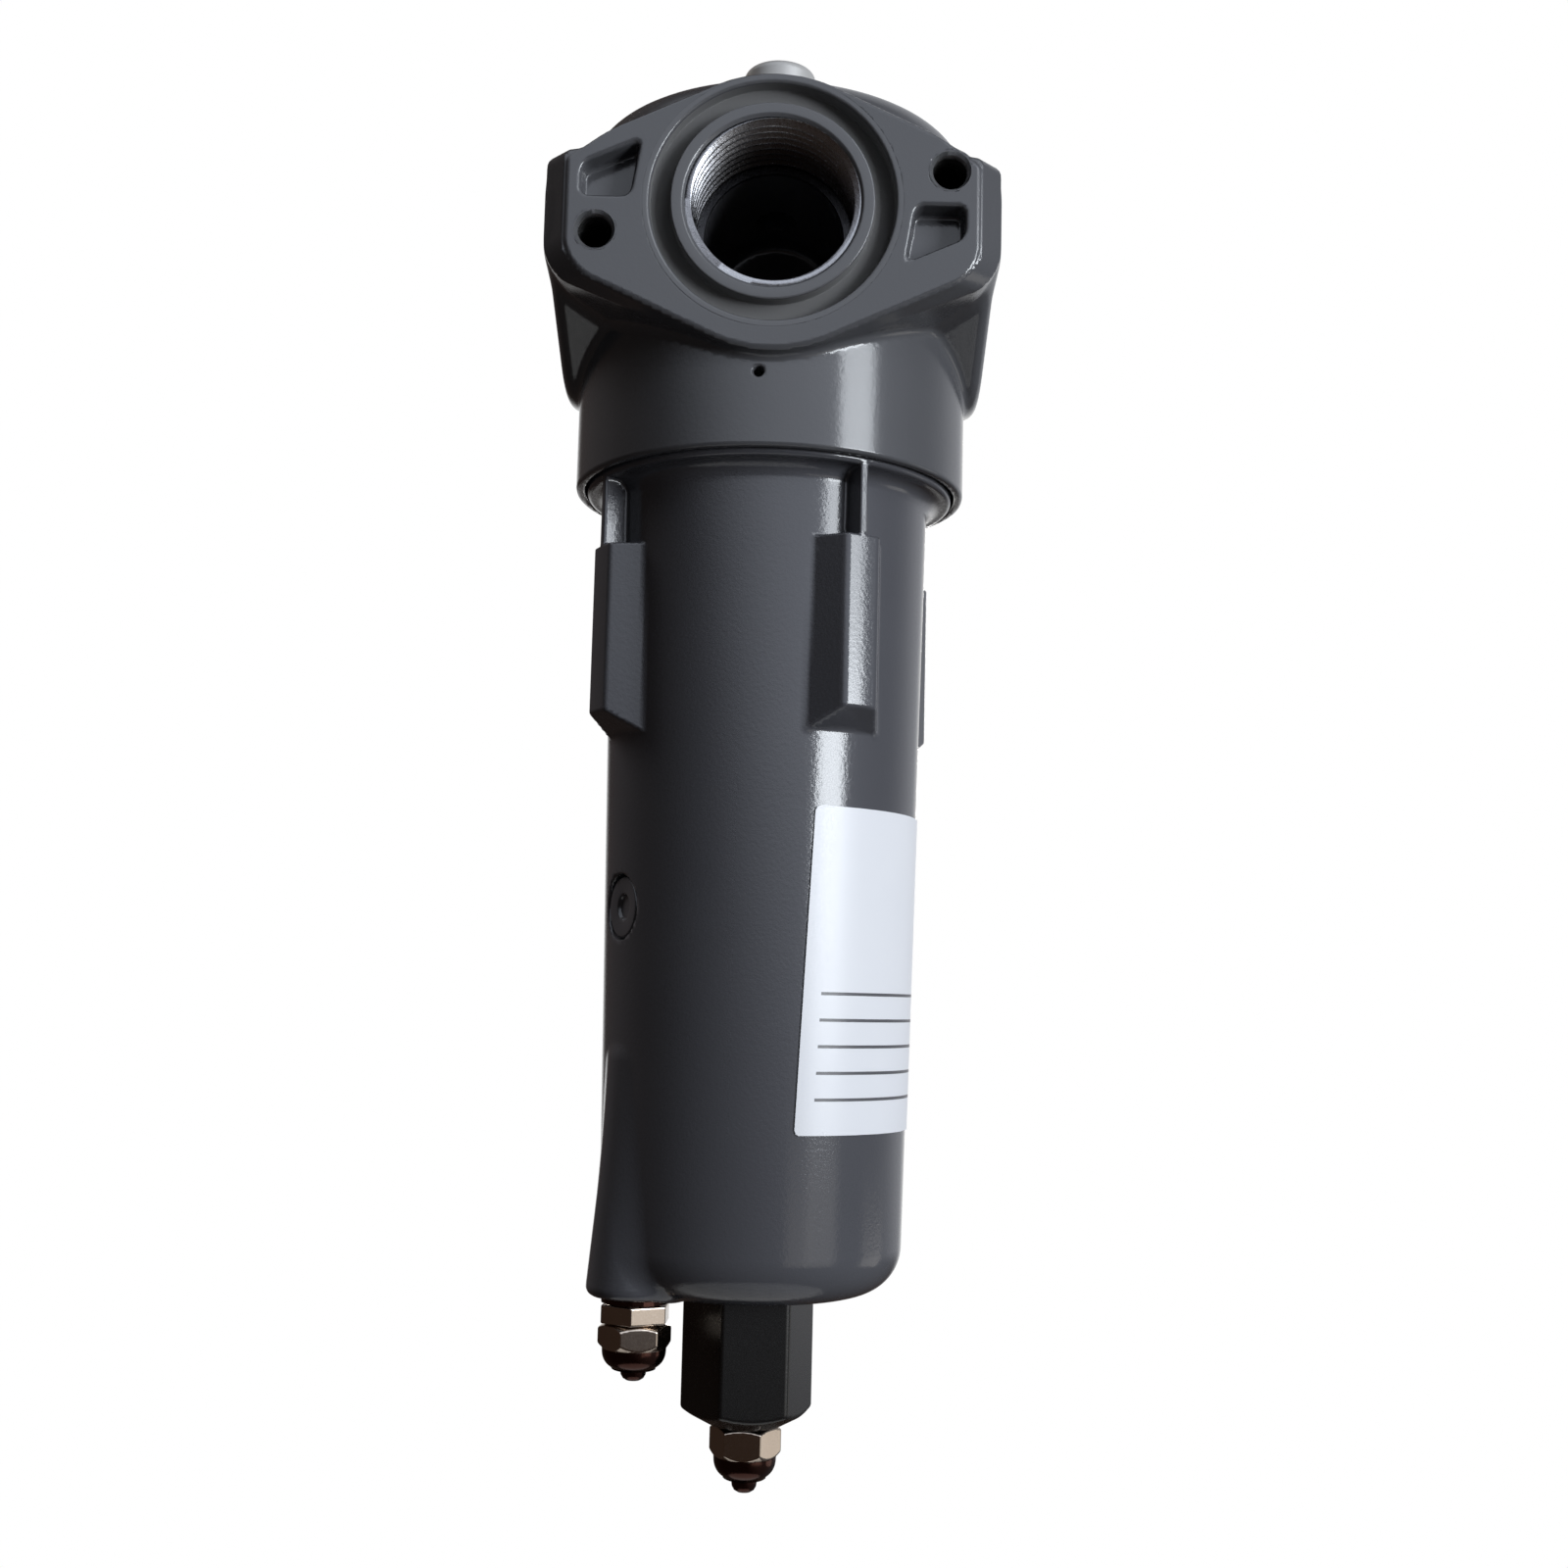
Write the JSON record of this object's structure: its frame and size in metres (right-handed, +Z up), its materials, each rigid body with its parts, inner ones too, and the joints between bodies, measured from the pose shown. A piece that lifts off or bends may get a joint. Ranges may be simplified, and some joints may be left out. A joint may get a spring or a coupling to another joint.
{
  "type": "compressed air filter",
  "caption": "In-line compressed air filter: flanged cast head with threaded ports, screw-on bowl with grip ribs, inner element, float drain and tube fittings below.",
  "frame": {"origin": "where the port axis crosses the bowl axis, in the middle of the head", "axes": "+Z up along the bowl axis, -Y out of the inlet port, +Y out of the outlet port, +X to the right seen from the inlet"},
  "size_m": [0.0858, 0.085, 0.2882],
  "materials": {
    "powder_coat": "dark slate powder coat on die-cast aluminium, satin",
    "plated_brass": "nickel-plated brass, bright",
    "brass": "turned brass",
    "bare_aluminium": "light grey satin",
    "black_plastic": "black moulded nylon, matt",
    "white_plastic": "white moulded acetal",
    "rubber": "black nitrile rubber",
    "label_film": "white printed film, bare",
    "filter_media": "pleated glass fibre",
    "drain_foam": "open-cell foam sleeve",
    "stainless": "stainless, perforated"
  },
  "bodies": {
    "head": {"head": "powder_coat", "gauge_plug": "bare_aluminium", "gauge_plug_seal": "rubber", "element_top_cap": "black_plastic", "element_seal_upper": "rubber", "element_seal_lower": "rubber", "element_inner_core": "stainless", "element_media": "filter_media", "element_outer_core": "stainless", "element_drain_sleeve": "drain_foam", "element_bottom_cap": "black_plastic"},
    "bowl_ring": {"bowl_seal": "rubber"},
    "bowl": {"bowl": "powder_coat", "label": "label_film", "side_plug": "powder_coat", "drain_body": "black_plastic", "drain_washer": "rubber", "drain_locknut": "black_plastic", "valve_seat": "brass", "float_guide": "white_plastic", "guide_cap": "white_plastic", "outlet_nipple": "plated_brass", "side_washer": "plated_brass", "side_fitting": "plated_brass"},
    "float": {"float": "black_plastic", "float_pin": "stainless", "valve_needle": "stainless"},
    "outlet_stub": {"outlet_stub": "plated_brass"},
    "outlet_nut": {"outlet_nut": "plated_brass"},
    "side_stub": {"side_stub": "plated_brass"},
    "side_nut": {"side_nut": "plated_brass"}
  },
  "joints": [
    {"name": "bowl_lower", "type": "slide", "parent": "head", "child": "bowl_ring", "axis": [0, 0, -1], "range_m": [0, 0.0069]},
    {"name": "bowl_turn", "type": "hinge", "parent": "bowl_ring", "child": "bowl", "pos_m": [0, 0, -0.046], "axis": [0, 0, -1], "range_deg": [0, 990]},
    {"name": "float_rise", "type": "slide", "parent": "bowl", "child": "float", "axis": [0, 0, 1], "range_m": [0, 0.006]},
    {"name": "outlet_stub_drop", "type": "slide", "parent": "bowl", "child": "outlet_stub", "axis": [0, 0, -1], "range_m": [0, 0.002]},
    {"name": "outlet_nut_turn", "type": "hinge", "parent": "outlet_stub", "child": "outlet_nut", "pos_m": [0, 0, -0.235], "axis": [0, 0, -1], "range_deg": [0, 690]},
    {"name": "side_stub_drop", "type": "slide", "parent": "bowl", "child": "side_stub", "axis": [0, 0, -1], "range_m": [0, 0.002]},
    {"name": "side_nut_turn", "type": "hinge", "parent": "side_stub", "child": "side_nut", "pos_m": [-0.02122, -0.01225, -0.213], "axis": [0, 0, -1], "range_deg": [0, 690]}
  ],
  "couplings": [
    {"joint": "bowl_lower", "follows": "bowl_turn", "m_per_rad": 0.00039789},
    {"joint": "outlet_stub_drop", "follows": "outlet_nut_turn", "m_per_rad": 0.00015915},
    {"joint": "side_stub_drop", "follows": "side_nut_turn", "m_per_rad": 0.00015915}
  ]
}
